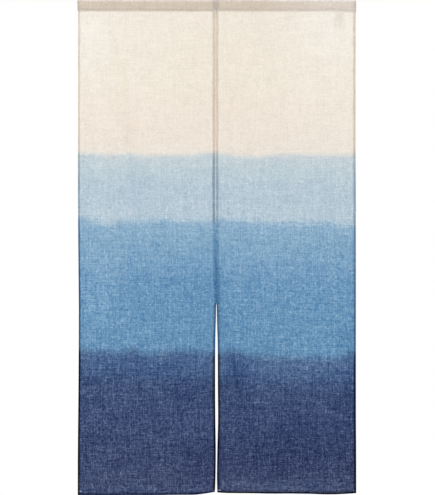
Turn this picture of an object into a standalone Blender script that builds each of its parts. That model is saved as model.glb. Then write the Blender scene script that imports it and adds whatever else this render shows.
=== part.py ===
# A noren: a split door curtain of thin cloth, 85 cm wide and 150 cm long, hung by a rod pocket.
# Metres, +Z up. The origin is the middle of the top edge. The front faces -Y.

from bisect import bisect_right
from collections import namedtuple
import math

import bmesh
import bpy

# Cloth, and the sewing that thickens it
CLOTH = 0.0010            # one layer
HEM_LAYERS = 0.0022       # three layers, turned twice to the back
SIDE_HEM = 0.0085         # width of the hems at the outer edges, the seam and the slit
BOTTOM_HEM = 0.0135       # height of the hem at the foot
HEM_STEP = 0.0014         # a hem falls to one layer over this distance
GAP = 0.0003              # left between neighbouring pieces

# Heading: the top of the cloth turned over to the back, which makes the rod pocket
HEADING_LEFT = -0.4253
HEADING_RIGHT = 0.4242
HEADING_HEIGHT = 0.0377
POCKET_RADIUS = 0.0064    # outside of the rounded top
POCKET_FLOOR = 0.0290     # below this drop the layers are sewn flat on each other
POCKET_ARC = 205          # degrees of the rounded top that are an arc
POCKET_ARC_STEPS = 12
BAND_THICK = 0.0032       # front cloth, back cloth and the edge turned under between them
BAND_BEVEL = 0.0004
END_SAG = 0.0026          # the right end of the heading hangs lower by this
END_SAG_LENGTH = 0.045    # and begins to this far from its end
# The pocket is fuller and flatter from place to place, by this share of its depth.
Swell = namedtuple("Swell", "wavelength shift share")
SWELLS = (
    Swell(wavelength=0.205, shift=0.000, share=0.10),
    Swell(wavelength=0.118, shift=0.021, share=0.06),
)

# Each panel's edges: how far they lie from the middle, by drop below the top edge.
Edge = namedtuple("Edge", "drop left_outer left_inner right_inner right_outer")
EDGES = (
    Edge(drop=0.036, left_outer=-0.4238, left_inner=-0.0047, right_inner=-0.0043, right_outer=0.4236),
    Edge(drop=0.330, left_outer=-0.4240, left_inner=-0.0050, right_inner=-0.0043, right_outer=0.4235),
    Edge(drop=0.620, left_outer=-0.4238, left_inner=-0.0051, right_inner=-0.0040, right_outer=0.4236),
    Edge(drop=0.740, left_outer=-0.4231, left_inner=-0.0045, right_inner=-0.0039, right_outer=0.4236),
    Edge(drop=0.850, left_outer=-0.4219, left_inner=-0.0024, right_inner=-0.0019, right_outer=0.4235),
    Edge(drop=0.930, left_outer=-0.4213, left_inner=-0.0008, right_inner=-0.0004, right_outer=0.4235),
    Edge(drop=0.965, left_outer=-0.4212, left_inner=-0.0028, right_inner=-0.0004, right_outer=0.4235),
    Edge(drop=1.056, left_outer=-0.4215, left_inner=-0.0055, right_inner=+0.0023, right_outer=0.4234),
    Edge(drop=1.190, left_outer=-0.4222, left_inner=-0.0058, right_inner=+0.0028, right_outer=0.4231),
    Edge(drop=1.285, left_outer=-0.4231, left_inner=-0.0051, right_inner=+0.0033, right_outer=0.4232),
    Edge(drop=1.376, left_outer=-0.4238, left_inner=-0.0038, right_inner=+0.0010, right_outer=0.4235),
    Edge(drop=1.455, left_outer=-0.4240, left_inner=-0.0046, right_inner=+0.0000, right_outer=0.4237),
    Edge(drop=1.508, left_outer=-0.4239, left_inner=-0.0066, right_inner=+0.0018, right_outer=0.4236),
)
SLIT_HEAD = 0.931         # the seam ends and the slit begins

# Each panel's foot, by distance from the middle. The left inner corner rides up.
Foot = namedtuple("Foot", "x drop")
LEFT_FOOT = (
    Foot(x=-0.424, drop=1.5130),
    Foot(x=-0.370, drop=1.5155),
    Foot(x=-0.230, drop=1.5165),
    Foot(x=-0.110, drop=1.5145),
    Foot(x=-0.066, drop=1.5100),
    Foot(x=-0.030, drop=1.5058),
    Foot(x=-0.006, drop=1.5020),
)
RIGHT_FOOT = (
    Foot(x=0.001, drop=1.5035),
    Foot(x=0.030, drop=1.5055),
    Foot(x=0.130, drop=1.5066),
    Foot(x=0.250, drop=1.5076),
    Foot(x=0.345, drop=1.5092),
    Foot(x=0.395, drop=1.5082),
    Foot(x=0.424, drop=1.5055),
)

# Soft upright folds. Each grows from its start to its full depth, and leans as it falls.
# A positive depth goes back, a negative one comes forward.
Fold = namedtuple("Fold", "middle half_width depth start full lean")
FOLDS = (
    Fold(middle=-0.405, half_width=0.070, depth=+0.0035, start=0.10, full=0.95, lean=+0.004),
    Fold(middle=-0.345, half_width=0.075, depth=-0.0048, start=0.20, full=1.05, lean=+0.010),
    Fold(middle=-0.288, half_width=0.058, depth=+0.0050, start=0.03, full=0.80, lean=+0.012),
    Fold(middle=-0.205, half_width=0.085, depth=-0.0050, start=0.25, full=1.30, lean=-0.008),
    Fold(middle=-0.110, half_width=0.080, depth=+0.0058, start=0.15, full=1.25, lean=-0.006),
    Fold(middle=-0.020, half_width=0.075, depth=-0.0036, start=0.40, full=1.40, lean=+0.010),
    Fold(middle=+0.085, half_width=0.085, depth=+0.0046, start=0.20, full=1.35, lean=+0.004),
    Fold(middle=+0.180, half_width=0.080, depth=-0.0046, start=0.35, full=1.30, lean=-0.006),
    Fold(middle=+0.262, half_width=0.070, depth=+0.0040, start=0.12, full=1.10, lean=-0.010),
    Fold(middle=+0.340, half_width=0.070, depth=-0.0048, start=0.30, full=1.25, lean=+0.006),
    Fold(middle=+0.410, half_width=0.060, depth=+0.0030, start=0.15, full=1.00, lean=+0.002),
)
# The free corners below the slit turn out of the plane, each its own way.
LEFT_CURLS = (
    Fold(middle=+0.000, half_width=0.075, depth=-0.0085, start=1.20, full=1.52, lean=0.0),
    Fold(middle=-0.430, half_width=0.065, depth=-0.0045, start=1.30, full=1.52, lean=0.0),
    Fold(middle=+0.000, half_width=0.060, depth=+0.0030, start=0.96, full=1.12, lean=0.0),
)
RIGHT_CURLS = (
    Fold(middle=+0.000, half_width=0.060, depth=+0.0045, start=1.25, full=1.52, lean=0.0),
    Fold(middle=+0.430, half_width=0.080, depth=+0.0060, start=1.20, full=1.52, lean=0.0),
    Fold(middle=+0.000, half_width=0.050, depth=-0.0022, start=0.96, full=1.15, lean=0.0),
)

# How finely a panel is divided
COLUMNS = 13              # between the side hems
ROWS_ABOVE_SLIT = 20
ROWS_BELOW_SLIT = 17

# Care label, caught in the pocket's stitching behind the right panel
LABEL_LEFT = 0.3598
LABEL_RIGHT = 0.3872
LABEL_FOOT = 0.0912
LABEL_THICK = 0.0010
LABEL_CLEARANCE = 0.0004
LABEL_LIFT = 0.0028       # its free end stands off the cloth by this
LABEL_COLUMNS = 4
LABEL_ROWS = 7

SHARP_ANGLE = 40          # degrees; edges blunter than this are shaded smooth

# Colours and roughness
HEADING_COLOUR = (0.655, 0.578, 0.500)
LABEL_COLOUR = (0.800, 0.780, 0.730)
CLOTH_ROUGHNESS = 0.92
LABEL_ROUGHNESS = 0.70
# The dip-dyed panels: the colour of the cloth by drop below the top edge.
Dye = namedtuple("Dye", "drop colour")
DYES = (
    Dye(drop=0.46, colour=(0.870, 0.806, 0.708)),
    Dye(drop=0.50, colour=(0.485, 0.600, 0.680)),
    Dye(drop=0.67, colour=(0.450, 0.578, 0.672)),
    Dye(drop=0.71, colour=(0.270, 0.440, 0.592)),
    Dye(drop=1.06, colour=(0.130, 0.296, 0.480)),
    Dye(drop=1.10, colour=(0.068, 0.125, 0.256)),
    Dye(drop=1.20, colour=(0.050, 0.080, 0.168)),
)


def ease(t):
    # Rises smoothly from 0 to 1 as t does.
    t = min(max(t, 0.0), 1.0)
    return t * t * (3 - 2 * t)


def between(a, b, t):
    return a + (b - a) * t


def evenly(first, last, steps):
    # The places after first, up to and with last, at even steps.
    return [between(first, last, k / steps) for k in range(1, steps + 1)]


def along(rows, key, column, place):
    # A column's value at a place, on a smooth curve through the table's rows.
    places = [getattr(row, key) for row in rows]
    values = [getattr(row, column) for row in rows]
    i = min(max(bisect_right(places, place) - 1, 0), len(rows) - 2)

    def slope(k):
        before, after = max(k - 1, 0), min(k + 1, len(rows) - 1)
        return (values[after] - values[before]) / (places[after] - places[before])

    span = places[i + 1] - places[i]
    t = min(max((place - places[i]) / span, 0.0), 1.0)
    bend_out = t * (1 - t) ** 2 * slope(i) * span
    bend_in = t * t * (t - 1) * slope(i + 1) * span
    return between(values[i], values[i + 1], ease(t)) + bend_out + bend_in


def fold_depth(x, drop, folds):
    # How far the front of the cloth lies behind the heading's front.
    depth = 0.0
    for fold in folds:
        grown = ease((drop - fold.start) / (fold.full - fold.start))
        away = abs(x - fold.middle - fold.lean * drop) / fold.half_width
        depth += fold.depth * grown * ease(1 - away)
    return depth


def end_sag(x):
    return END_SAG * ease((x - HEADING_RIGHT + END_SAG_LENGTH) / END_SAG_LENGTH)


def swell(x):
    waves = (row.share * math.sin(math.tau * (x + row.shift) / row.wavelength) for row in SWELLS)
    return sum(waves)


def material(name, colour, roughness):
    new = bpy.data.materials.new(name)
    new.use_nodes = True
    shader = new.node_tree.nodes["Principled BSDF"]
    shader.inputs["Base Color"].default_value = (*colour, 1.0)
    shader.inputs["Roughness"].default_value = roughness
    shader.inputs["Metallic"].default_value = 0.0
    new.diffuse_color = (*colour, 1.0)
    return new


def dip_dyed(name):
    # The dyes run down the cloth in bands, from natural at the top to navy at the foot.
    new = material(name, DYES[0].colour, CLOTH_ROUGHNESS)
    nodes, links = new.node_tree.nodes, new.node_tree.links
    place = nodes.new("ShaderNodeTexCoord")
    split = nodes.new("ShaderNodeSeparateXYZ")
    share = nodes.new("ShaderNodeMapRange")
    share.inputs["From Min"].default_value = -DYES[0].drop
    share.inputs["From Max"].default_value = -DYES[-1].drop
    bands = nodes.new("ShaderNodeValToRGB")
    stops = bands.color_ramp.elements
    for dye in DYES[1:-1]:
        stops.new((dye.drop - DYES[0].drop) / (DYES[-1].drop - DYES[0].drop))
    for stop, dye in zip(stops, DYES):
        stop.color = (*dye.colour, 1.0)
    links.new(place.outputs["Object"], split.inputs["Vector"])
    links.new(split.outputs["Z"], share.inputs["Value"])
    links.new(share.outputs["Result"], bands.inputs["Fac"])
    links.new(bands.outputs["Color"], nodes["Principled BSDF"].inputs["Base Color"])
    return new


def finish(obj, name, collection, surface):
    obj.name = name
    obj.data.name = name
    for home in list(obj.users_collection):
        home.objects.unlink(obj)
    collection.objects.link(obj)
    obj.data.materials.clear()
    obj.data.materials.append(surface)
    obj.data.shade_smooth()
    obj.data.set_sharp_from_angle(angle=math.radians(SHARP_ANGLE))


def new_grid(across, down):
    # A flat grid, with each point's column and row given by where it lies.
    bpy.ops.mesh.primitive_grid_add(x_subdivisions=across, y_subdivisions=down, size=1)
    obj = bpy.context.active_object
    places = []
    for vertex in obj.data.vertices:
        column = round((vertex.co.x + 0.5) * across)
        row = round((0.5 - vertex.co.y) * down)
        places.append((vertex, column, row))
    return obj, places


def pocket_outline(inset):
    # Half circle over a rod, then straight sides that close on the sewn band.
    middle = BAND_THICK / 2
    radius = POCKET_RADIUS - inset
    half_arc = math.radians(POCKET_ARC) / 2
    points = []
    for k in range(POCKET_ARC_STEPS + 1):
        turn = between(-half_arc, half_arc, k / POCKET_ARC_STEPS)
        points.append((middle + radius * math.sin(turn), -POCKET_RADIUS + radius * math.cos(turn)))
    return points


def heading_section():
    # The outer outline runs round the sewn band as well. The inner one is the pocket alone.
    rim = BAND_BEVEL
    outer = pocket_outline(0.0) + [
        (BAND_THICK, -POCKET_FLOOR),
        (BAND_THICK, -HEADING_HEIGHT + rim),
        (BAND_THICK - rim, -HEADING_HEIGHT),
        (rim, -HEADING_HEIGHT),
        (0.0, -HEADING_HEIGHT + rim),
        (0.0, -POCKET_FLOOR),
    ]
    inner = pocket_outline(CLOTH) + [(BAND_THICK / 2, CLOTH - POCKET_FLOOR)]
    return outer, inner


def panel_shares():
    # Where the columns and rows lie, as shares of the panel's width and length.
    width = EDGES[0].left_inner - EDGES[0].left_outer
    hem = SIDE_HEM / width
    thin = (SIDE_HEM + HEM_STEP) / width
    columns = [0.0, hem, thin] + evenly(thin, 1 - thin, COLUMNS) + [1 - hem, 1.0]

    length = RIGHT_FOOT[2].drop - HEADING_HEIGHT
    slit = (SLIT_HEAD - HEADING_HEIGHT) / length
    hem = 1 - BOTTOM_HEM / length
    thin = 1 - (BOTTOM_HEM + HEM_STEP) / length
    rows = [0.0] + evenly(0.0, slit, ROWS_ABOVE_SLIT) + evenly(slit, thin, ROWS_BELOW_SLIT)
    return columns, rows + [hem, 1.0]


def heading_stations():
    # The heading has a section at each column of the panels, so that its lower edge matches theirs.
    top = EDGES[0]
    columns, _ = panel_shares()
    left = [between(top.left_outer, top.left_inner, share) for share in columns]
    right = [between(top.right_inner, top.right_outer, share) for share in columns]
    return left + right


def straight_heading(collection):
    # The section as a flat curve, given its length along X and made a mesh.
    curve = bpy.data.curves.new("heading_section", "CURVE")
    curve.dimensions = "2D"
    curve.fill_mode = "BOTH"
    curve.extrude = (HEADING_RIGHT - HEADING_LEFT) / 2
    for outline in heading_section():
        spline = curve.splines.new("POLY")
        spline.points.add(len(outline) - 1)
        spline.use_cyclic_u = True
        for point, (y, z) in zip(spline.points, outline):
            point.co = (y, z, 0.0, 1.0)
    section = bpy.data.objects.new("heading_section", curve)
    section.location = ((HEADING_LEFT + HEADING_RIGHT) / 2, 0.0, 0.0)
    section.rotation_euler = (math.radians(90), 0.0, math.radians(90))
    collection.objects.link(section)
    bpy.context.view_layer.update()
    evaluated = section.evaluated_get(bpy.context.evaluated_depsgraph_get())
    mesh = bpy.data.meshes.new_from_object(evaluated)
    mesh.transform(section.matrix_world)
    bpy.data.objects.remove(section)
    return mesh


def build_heading(collection):
    mesh = straight_heading(collection)
    tube = bmesh.new()
    tube.from_mesh(mesh)
    bmesh.ops.remove_doubles(tube, verts=tube.verts, dist=0.00001)
    for x in heading_stations():
        everything = tube.verts[:] + tube.edges[:] + tube.faces[:]
        bmesh.ops.bisect_plane(tube, geom=everything, plane_co=(x, 0, 0), plane_no=(1, 0, 0))
    for vertex in tube.verts:
        x, y, z = vertex.co
        vertex.co.y += (y - BAND_THICK / 2) * swell(x) * ease(1 + z / POCKET_FLOOR)
        vertex.co.z -= end_sag(x) * ease(-z / HEADING_HEIGHT)
    bmesh.ops.recalc_face_normals(tube, faces=tube.faces)
    tube.to_mesh(mesh)
    tube.free()

    heading = bpy.data.objects.new("heading", mesh)
    collection.objects.link(heading)
    finish(heading, "heading", collection, material("heading", HEADING_COLOUR, CLOTH_ROUGHNESS))


def build_panel(name, left_edge, right_edge, foot, curls, collection):
    columns, rows = panel_shares()
    panel, places = new_grid(len(columns) - 1, len(rows) - 1)
    thickness = panel.vertex_groups.new(name="thickness")
    for vertex, column, row in places:
        share = columns[column]
        foot_x = between(
            along(EDGES, "drop", left_edge, EDGES[-1].drop),
            along(EDGES, "drop", right_edge, EDGES[-1].drop),
            share,
        )
        top = HEADING_HEIGHT + GAP + end_sag(foot_x)
        drop = between(top, along(foot, "x", "drop", foot_x), rows[row])
        x = between(
            along(EDGES, "drop", left_edge, drop),
            along(EDGES, "drop", right_edge, drop),
            share,
        )
        vertex.co = (x, fold_depth(x, drop, FOLDS + curls), -drop)
        in_side_hem = column < 2 or column > len(columns) - 3
        in_hem = in_side_hem or row > len(rows) - 3
        thickness.add([vertex.index], 1.0 if in_hem else CLOTH / HEM_LAYERS, "REPLACE")
    solid = panel.modifiers.new("cloth", "SOLIDIFY")
    solid.thickness = HEM_LAYERS
    solid.offset = -1.0
    solid.vertex_group = thickness.name
    finish(panel, name, collection, dip_dyed(name))


def build_label(collection):
    label, places = new_grid(LABEL_COLUMNS, LABEL_ROWS)
    for vertex, column, row in places:
        x = between(LABEL_LEFT, LABEL_RIGHT, column / LABEL_COLUMNS)
        down = row / LABEL_ROWS
        drop = between(HEADING_HEIGHT + 2 * GAP + end_sag(x), LABEL_FOOT, down)
        behind = fold_depth(x, drop, FOLDS) + CLOTH + LABEL_CLEARANCE
        vertex.co = (x, behind + LABEL_LIFT * down * down, -drop)
    solid = label.modifiers.new("cloth", "SOLIDIFY")
    solid.thickness = LABEL_THICK
    solid.offset = -1.0
    finish(label, "care_label", collection, material("care_label", LABEL_COLOUR, LABEL_ROUGHNESS))


def main():
    for obj in list(bpy.data.objects):
        bpy.data.objects.remove(obj)
    collection = bpy.data.collections.new("noren")
    bpy.context.scene.collection.children.link(collection)
    build_heading(collection)
    build_panel("panel_left", "left_outer", "left_inner", LEFT_FOOT, LEFT_CURLS, collection)
    build_panel("panel_right", "right_inner", "right_outer", RIGHT_FOOT, RIGHT_CURLS, collection)
    build_label(collection)


main()
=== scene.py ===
# A split door curtain of dip-dyed linen, dressed over its CAD frame: thin cloth with hems turned twice,
# a rod pocket along the top, machine stitching and a small blank label. Metres, +Z up, front to -Y.
import math
import random
from bisect import bisect_right
from collections import namedtuple

import bpy
import numpy as np
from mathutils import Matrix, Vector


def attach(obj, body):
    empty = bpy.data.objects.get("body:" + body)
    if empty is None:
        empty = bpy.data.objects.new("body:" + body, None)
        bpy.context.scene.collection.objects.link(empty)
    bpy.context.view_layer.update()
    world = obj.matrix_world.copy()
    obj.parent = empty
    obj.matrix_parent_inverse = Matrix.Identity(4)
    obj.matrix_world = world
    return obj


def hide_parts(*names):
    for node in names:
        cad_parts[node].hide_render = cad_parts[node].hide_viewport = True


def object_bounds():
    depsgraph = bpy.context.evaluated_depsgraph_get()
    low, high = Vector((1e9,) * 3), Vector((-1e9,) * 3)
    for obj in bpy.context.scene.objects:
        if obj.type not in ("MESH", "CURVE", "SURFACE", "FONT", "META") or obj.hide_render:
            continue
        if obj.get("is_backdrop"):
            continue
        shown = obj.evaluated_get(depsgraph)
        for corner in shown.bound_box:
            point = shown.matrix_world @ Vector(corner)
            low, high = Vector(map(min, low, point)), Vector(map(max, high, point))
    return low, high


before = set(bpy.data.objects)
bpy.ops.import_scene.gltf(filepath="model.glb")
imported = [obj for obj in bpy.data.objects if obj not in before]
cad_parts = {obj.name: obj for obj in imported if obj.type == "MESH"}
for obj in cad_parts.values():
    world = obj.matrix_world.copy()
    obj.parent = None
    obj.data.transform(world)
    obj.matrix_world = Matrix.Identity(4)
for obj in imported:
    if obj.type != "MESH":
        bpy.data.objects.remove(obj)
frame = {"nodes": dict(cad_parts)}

scene = bpy.context.scene
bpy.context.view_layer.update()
print("frame loaded:", ", ".join(frame["nodes"]))

linen = {
    "thick": 0.00034,  # one layer of cloth
    "layerGap": 0.00042,  # from one layer to the next in a hem
    "footHem": 0.0100,  # height of the hem at the foot
    "rawEdge": 0.0012,  # the cut edge stops this far short of the fold it lies in
    "hemFade": 0.0025,  # a hem's bulk fades out over this
    "hemProud": 0.00018,  # the face of a hem stands forward by this
    "proudRise": 0.010,  # growing over this below the heading
    "foldColumns": (0.0018, 0.0034, 0.0046),  # more columns of points beside a hem's fold
    "hemColumns": (-0.0006, 0.0, 0.0012, 0.0030),  # and beside its inner edge
    "widthDrop": 0.500,  # a panel is cut as wide as it is here
    "columns": 80,  # across a panel's face
    "rows": 196,  # down it
    "back": 0.5,  # the share of its colour that comes back, and doesn't shine through
}


def table(kind, *rows):
    return tuple(kind(*row) for row in rows)


# Both panels' edges, by drop below the top edge
Edge = namedtuple("Edge", "drop leftOuter leftInner rightInner rightOuter")
panelEdges = table(Edge,
    (0.036, -0.4235, -0.0047, -0.0043, 0.4228),
    (0.33, -0.4236, -0.005, -0.0043, 0.4224),
    (0.5, -0.4238, -0.0051, -0.0042, 0.4226),
    (0.62, -0.4236, -0.0051, -0.004, 0.4233),
    (0.74, -0.4229, -0.0044, -0.004, 0.4232),
    (0.85, -0.4219, -0.0024, -0.002, 0.4233),
    (0.927, -0.4213, -0.001, -0.0006, 0.4233),
    (0.936, -0.4212, -0.0027, -0.0007, 0.4233),
    (0.965, -0.4212, -0.0033, -0.0003, 0.4233),
    (1.056, -0.4215, -0.0055, 0.0022, 0.4233),
    (1.19, -0.4223, -0.0058, 0.0028, 0.4234),
    (1.285, -0.4233, -0.0051, 0.0033, 0.4236),
    (1.376, -0.4241, -0.0038, 0.001, 0.4243),
    (1.455, -0.4242, -0.0046, 0.0, 0.4246),
    (1.508, -0.4241, -0.0066, 0.0012, 0.4246),
)
slitHead = 0.928

# The hems by the edge that they lie at. Inside is painted light and shade within a hem, lighter in some bands
# and darker in others, and fold is a painted dark line along its fold; both stand in for light through the
# layers.
# The shares are for the natural, light, mid and navy bands. Reach is the width of the fold's painted darker line,
# and back the share of the layers' colour that comes back.
Hem = namedtuple("Hem", "width inside fold reach back")
hems = {
    "leftOuter": Hem(0.0054, (-0.12, 0.05, -0.16, 0.05), (0.06, 0.1, 0.66, 1.8), 0.0037, 0.5),
    "leftInner": Hem(0.0086, (-0.1, 0.18, -0.16, -0.04), (-0.02, 0.15, 0.44, 1.5), 0.003, 0.5),
    "rightInner": Hem(0.0085, (-0.15, -0.12, -0.16, -0.05), (-0.14, -0.1, 0.4, 1.5), 0.0029, 0.5),
    "rightOuter": Hem(0.007, (0.12, 0.05, -0.22, 0.05), (0.08, 0.08, 0.14, 0.85), 0.0042, 0.5),
    "leftFoot": Hem(linen["footHem"], (0.0, 0.0, 0.0, 0.0), (0.0, 0.0, 0.0, 0.45), 0.0047, 0.85),
    "rightFoot": Hem(linen["footHem"], (0.0, 0.0, 0.0, -0.1), (0.0, 0.0, 0.0, 1.7), 0.0028, 0.5),
}
# The length over which the dye and the painted shade change: beside a fold's painted line, at a hem's inner edge,
# from one band to the next and where the sewn seam ends
dyeAndShadeFades = {"fold": 0.0018, "hem": 0.0008, "band": 0.02, "sewn": 0.04}
# Where the two panels are sewn together: how much of the fold's painted line shows, the painted shade that
# darkens the sewn hems in the mid band, and the share of their colour that comes back from layers pressed so
# close
sewnHems = {"fold": 0.95, "uptake": (0.0, 0.0, 0.37, 0.0), "back": (0.50, 0.50, 0.88, 0.50)}
grainByBand = (1.31, 1.05, 0.73, 0.71)  # strength of the threads' unevenness in each band
dyedByBand = (0.0, 0.8, 1.0, 1.0)  # how far that unevenness is one of dye, not of shade

Foot = namedtuple("Foot", "x drop")
leftFoot = table(Foot,
    (-0.424, 1.5126), (-0.37, 1.513), (-0.203, 1.5123), (-0.087, 1.5117),
    (-0.066, 1.5107), (-0.038, 1.5068), (-0.006, 1.5012),
)
rightFoot = table(Foot,
    (0.001, 1.5036), (0.026, 1.5054), (0.075, 1.5065), (0.16, 1.5069),
    (0.209, 1.5072), (0.25, 1.508), (0.29, 1.5083), (0.325, 1.5091),
    (0.385, 1.5087), (0.413, 1.5076), (0.424, 1.5068),
)

# Soft upright folds: each grows from its start to its full depth. A positive depth goes back.
Fold = namedtuple("Fold", "middle halfWidth depth start full lean")
clothFolds = table(Fold,
    (-0.405, 0.07, 0.0035, 0.1, 0.95, 0.004), (-0.345, 0.075, -0.0048, 0.2, 1.05, 0.01),
    (-0.288, 0.058, 0.005, 0.03, 0.8, 0.012), (-0.205, 0.085, -0.005, 0.25, 1.3, -0.008),
    (-0.11, 0.08, 0.0058, 0.15, 1.25, -0.006), (-0.02, 0.075, -0.0036, 0.4, 1.4, 0.01),
    (0.085, 0.085, 0.0046, 0.2, 1.35, 0.004), (0.18, 0.08, -0.0046, 0.35, 1.3, -0.006),
    (0.262, 0.07, 0.004, 0.12, 1.1, -0.01), (0.34, 0.07, -0.0048, 0.3, 1.25, 0.006),
    (0.41, 0.06, 0.003, 0.15, 1.0, 0.002),
)
# The free corners below the slit turn out of the plane, each its own way.
leftCurls = table(Fold,
    (0.0, 0.075, -0.0085, 1.2, 1.52, 0.0),
    (-0.43, 0.065, -0.0045, 1.3, 1.52, 0.0),
    (0.0, 0.06, 0.003, 0.96, 1.12, 0.0),
)
rightCurls = table(Fold,
    (0.0, 0.06, 0.0045, 1.25, 1.52, 0.0),
    (0.43, 0.08, 0.006, 1.2, 1.52, 0.0),
    (0.0, 0.05, -0.0022, 0.96, 1.15, 0.0),
)
# Slight creases that the solids leave out, from the cloth's own hang and from the iron
fineCreases = table(Fold,
    (-0.372, 0.022, 0.0007, 0.05, 0.4, 0.006), (-0.292, 0.017, 0.0011, 0.04, 0.3, 0.01),
    (-0.246, 0.024, -0.0008, 0.3, 0.8, -0.004), (-0.152, 0.02, 0.0007, 0.1, 0.6, 0.005),
    (-0.066, 0.026, -0.0007, 0.55, 1.1, -0.003), (0.052, 0.022, 0.0008, 0.06, 0.5, 0.004),
    (0.132, 0.02, -0.0007, 0.4, 1.0, 0.006), (0.226, 0.024, 0.0008, 0.7, 1.3, -0.006),
    (0.302, 0.018, -0.0007, 0.08, 0.45, 0.004), (0.381, 0.02, 0.0007, 0.5, 1.2, -0.002),
)

panels = {
    "leftCloth": {
        "node": "panel_left", "slot": "left_cloth", "seed": 0.37,
        "edges": ("leftOuter", "leftInner"), "below": "leftFoot",
        "foot": leftFoot, "folds": clothFolds + leftCurls + fineCreases,
    },
    "rightCloth": {
        "node": "panel_right", "slot": "right_cloth", "seed": 2.63,
        "edges": ("rightInner", "rightOuter"), "below": "rightFoot",
        "foot": rightFoot, "folds": clothFolds + rightCurls + fineCreases,
    },
}

heading = {
    "left": -0.4253,
    "right": 0.4242,
    "height": 0.0377,
    "pocketRadius": 0.0064,  # outside of the rounded top
    "pocketFloor": 0.0290,  # below this drop the layers are sewn flat on each other
    "pocketArc": 205,  # degrees of the rounded top that are an arc
    "bandThick": 0.0032,
    "backLower": -0.0010,  # the fold at the back ends above the front's edge
    "turnedUnder": 0.0082,  # height of the edge turned under between front and back
    "endSag": 0.0028,  # the right end hangs lower by this
    "sagLength": 0.045,  # begins so far from its end
    "sagRun": 0.021,  # and is full after this
    "swells": ((0.205, 0.000, 0.10), (0.118, 0.021, 0.06)),  # wavelength, shift, share of the depth
    "columns": 88,  # across each half
    "seed": 5.43,
}


def ease(t):
    t = min(max(t, 0.0), 1.0)
    return t * t * (3 - 2 * t)


def between(a, b, t):
    return a + (b - a) * t


def along(rows, column, place):
    # A column's value at a place, on a smooth curve through the table's rows. Places are in the first column.
    places = [row[0] for row in rows]
    values = [getattr(row, column) for row in rows]
    i = min(max(bisect_right(places, place) - 1, 0), len(rows) - 2)

    def slope(k):
        before, after = max(k - 1, 0), min(k + 1, len(rows) - 1)
        return (values[after] - values[before]) / (places[after] - places[before])

    span = places[i + 1] - places[i]
    t = min(max((place - places[i]) / span, 0.0), 1.0)
    bendOut = t * (1 - t) ** 2 * slope(i) * span
    bendIn = t * t * (t - 1) * slope(i + 1) * span
    return between(values[i], values[i + 1], ease(t)) + bendOut + bendIn


def foldDepth(x, drop, folds):
    depth = 0.0
    for fold in folds:
        away = abs(x - fold.middle - fold.lean * drop) / fold.halfWidth
        if away < 1:
            depth += fold.depth * ease((drop - fold.start) / (fold.full - fold.start)) * ease(1 - away)
    return depth


def endSag(x):
    return heading["endSag"] * ease((x - heading["right"] + heading["sagLength"]) / heading["sagRun"])


def swell(x):
    waves = heading["swells"]
    return sum(share * math.sin(math.tau * (x + shift) / length) for length, shift, share in waves)


# The cloth as it was cut and hemmed

Across = namedtuple("Across", "side inward share layer cut")


def hemTurns(edge):
    # From the cut edge inside the hem, round both turns and out onto the face: inward, layer.
    hem, gap = hems[edge].width, linen["layerGap"]
    rows = [(linen["rawEdge"], 1.0), (hem * 0.5, 1.0), (hem - gap / 2, 1.0)]
    for turn in (math.radians(60), math.radians(120)):
        rows.append((hem - gap / 2 + gap / 2 * math.sin(turn), 1.5 - 0.5 * math.cos(turn)))
    rows += [(hem - gap / 2, 2.0), (hem * 0.5, 2.0), (gap, 2.0)]
    for turn in (math.radians(45), math.radians(90), math.radians(135)):
        rows.append((gap - gap * math.sin(turn), 1 + math.cos(turn)))
    columns = [gap, *linen["foldColumns"], *(hem + beyond for beyond in linen["hemColumns"])]
    return rows + [(inward, 0.0) for inward in columns]


def acrossStations(width, columns, edges):
    # Where the cloth's columns lie: in the left hem, over the face and in the right hem.
    turns = [hemTurns(edge) for edge in edges]
    cuts = []
    for rows in turns:
        steps = [math.hypot(b[0] - a[0], (b[1] - a[1]) * linen["layerGap"]) for a, b in zip(rows, rows[1:])]
        cuts.append([sum(steps[:k]) for k in range(len(rows))])
    face = width - turns[0][-1][0] - turns[1][-1][0]
    whole = cuts[0][-1] + face + cuts[1][-1]
    left = [Across(-1, inward, 0.0, layer, cut) for (inward, layer), cut in zip(turns[0], cuts[0])]
    middle = [Across(0, 0.0, k / columns, 0.0, cuts[0][-1] + face * k / columns) for k in range(1, columns)]
    right = [Across(1, inward, 1.0, layer, whole - cut) for (inward, layer), cut in zip(turns[1], cuts[1])]
    return left + middle + right[::-1], whole


def sideways(station, left, right, edges):
    if station.side < 0:
        return left + station.inward
    if station.side > 0:
        return right - station.inward
    beyond = linen["hemColumns"][-1]
    return between(left + hems[edges[0]].width + beyond, right - hems[edges[1]].width - beyond, station.share)


def hemBulk(x, left, right, edges):
    # 1 within a side hem, and 0 on the single cloth.
    beyond = min(x - left - hems[edges[0]].width, right - x - hems[edges[1]].width)
    return 1 - ease(beyond / linen["hemFade"])


def edgesAt(edges, drop):
    return tuple(along(panelEdges, edge, drop) for edge in edges)


def selectOnly(*pieces):
    # The first piece becomes the active one.
    bpy.ops.object.select_all(action="DESELECT")
    for piece in reversed(pieces):
        piece.select_set(True)
        bpy.context.view_layer.objects.active = piece


def newGrid(name, across, down):
    # A flat grid, with each point's column and row given by where it lies.
    selectOnly()
    bpy.ops.mesh.primitive_grid_add(x_subdivisions=across, y_subdivisions=down, size=1)
    piece = bpy.context.active_object
    piece.name = piece.data.name = name
    places = [
        (round((vertex.co.x + 0.5) * across), round((0.5 - vertex.co.y) * down))
        for vertex in piece.data.vertices
    ]
    return piece, places


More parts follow.
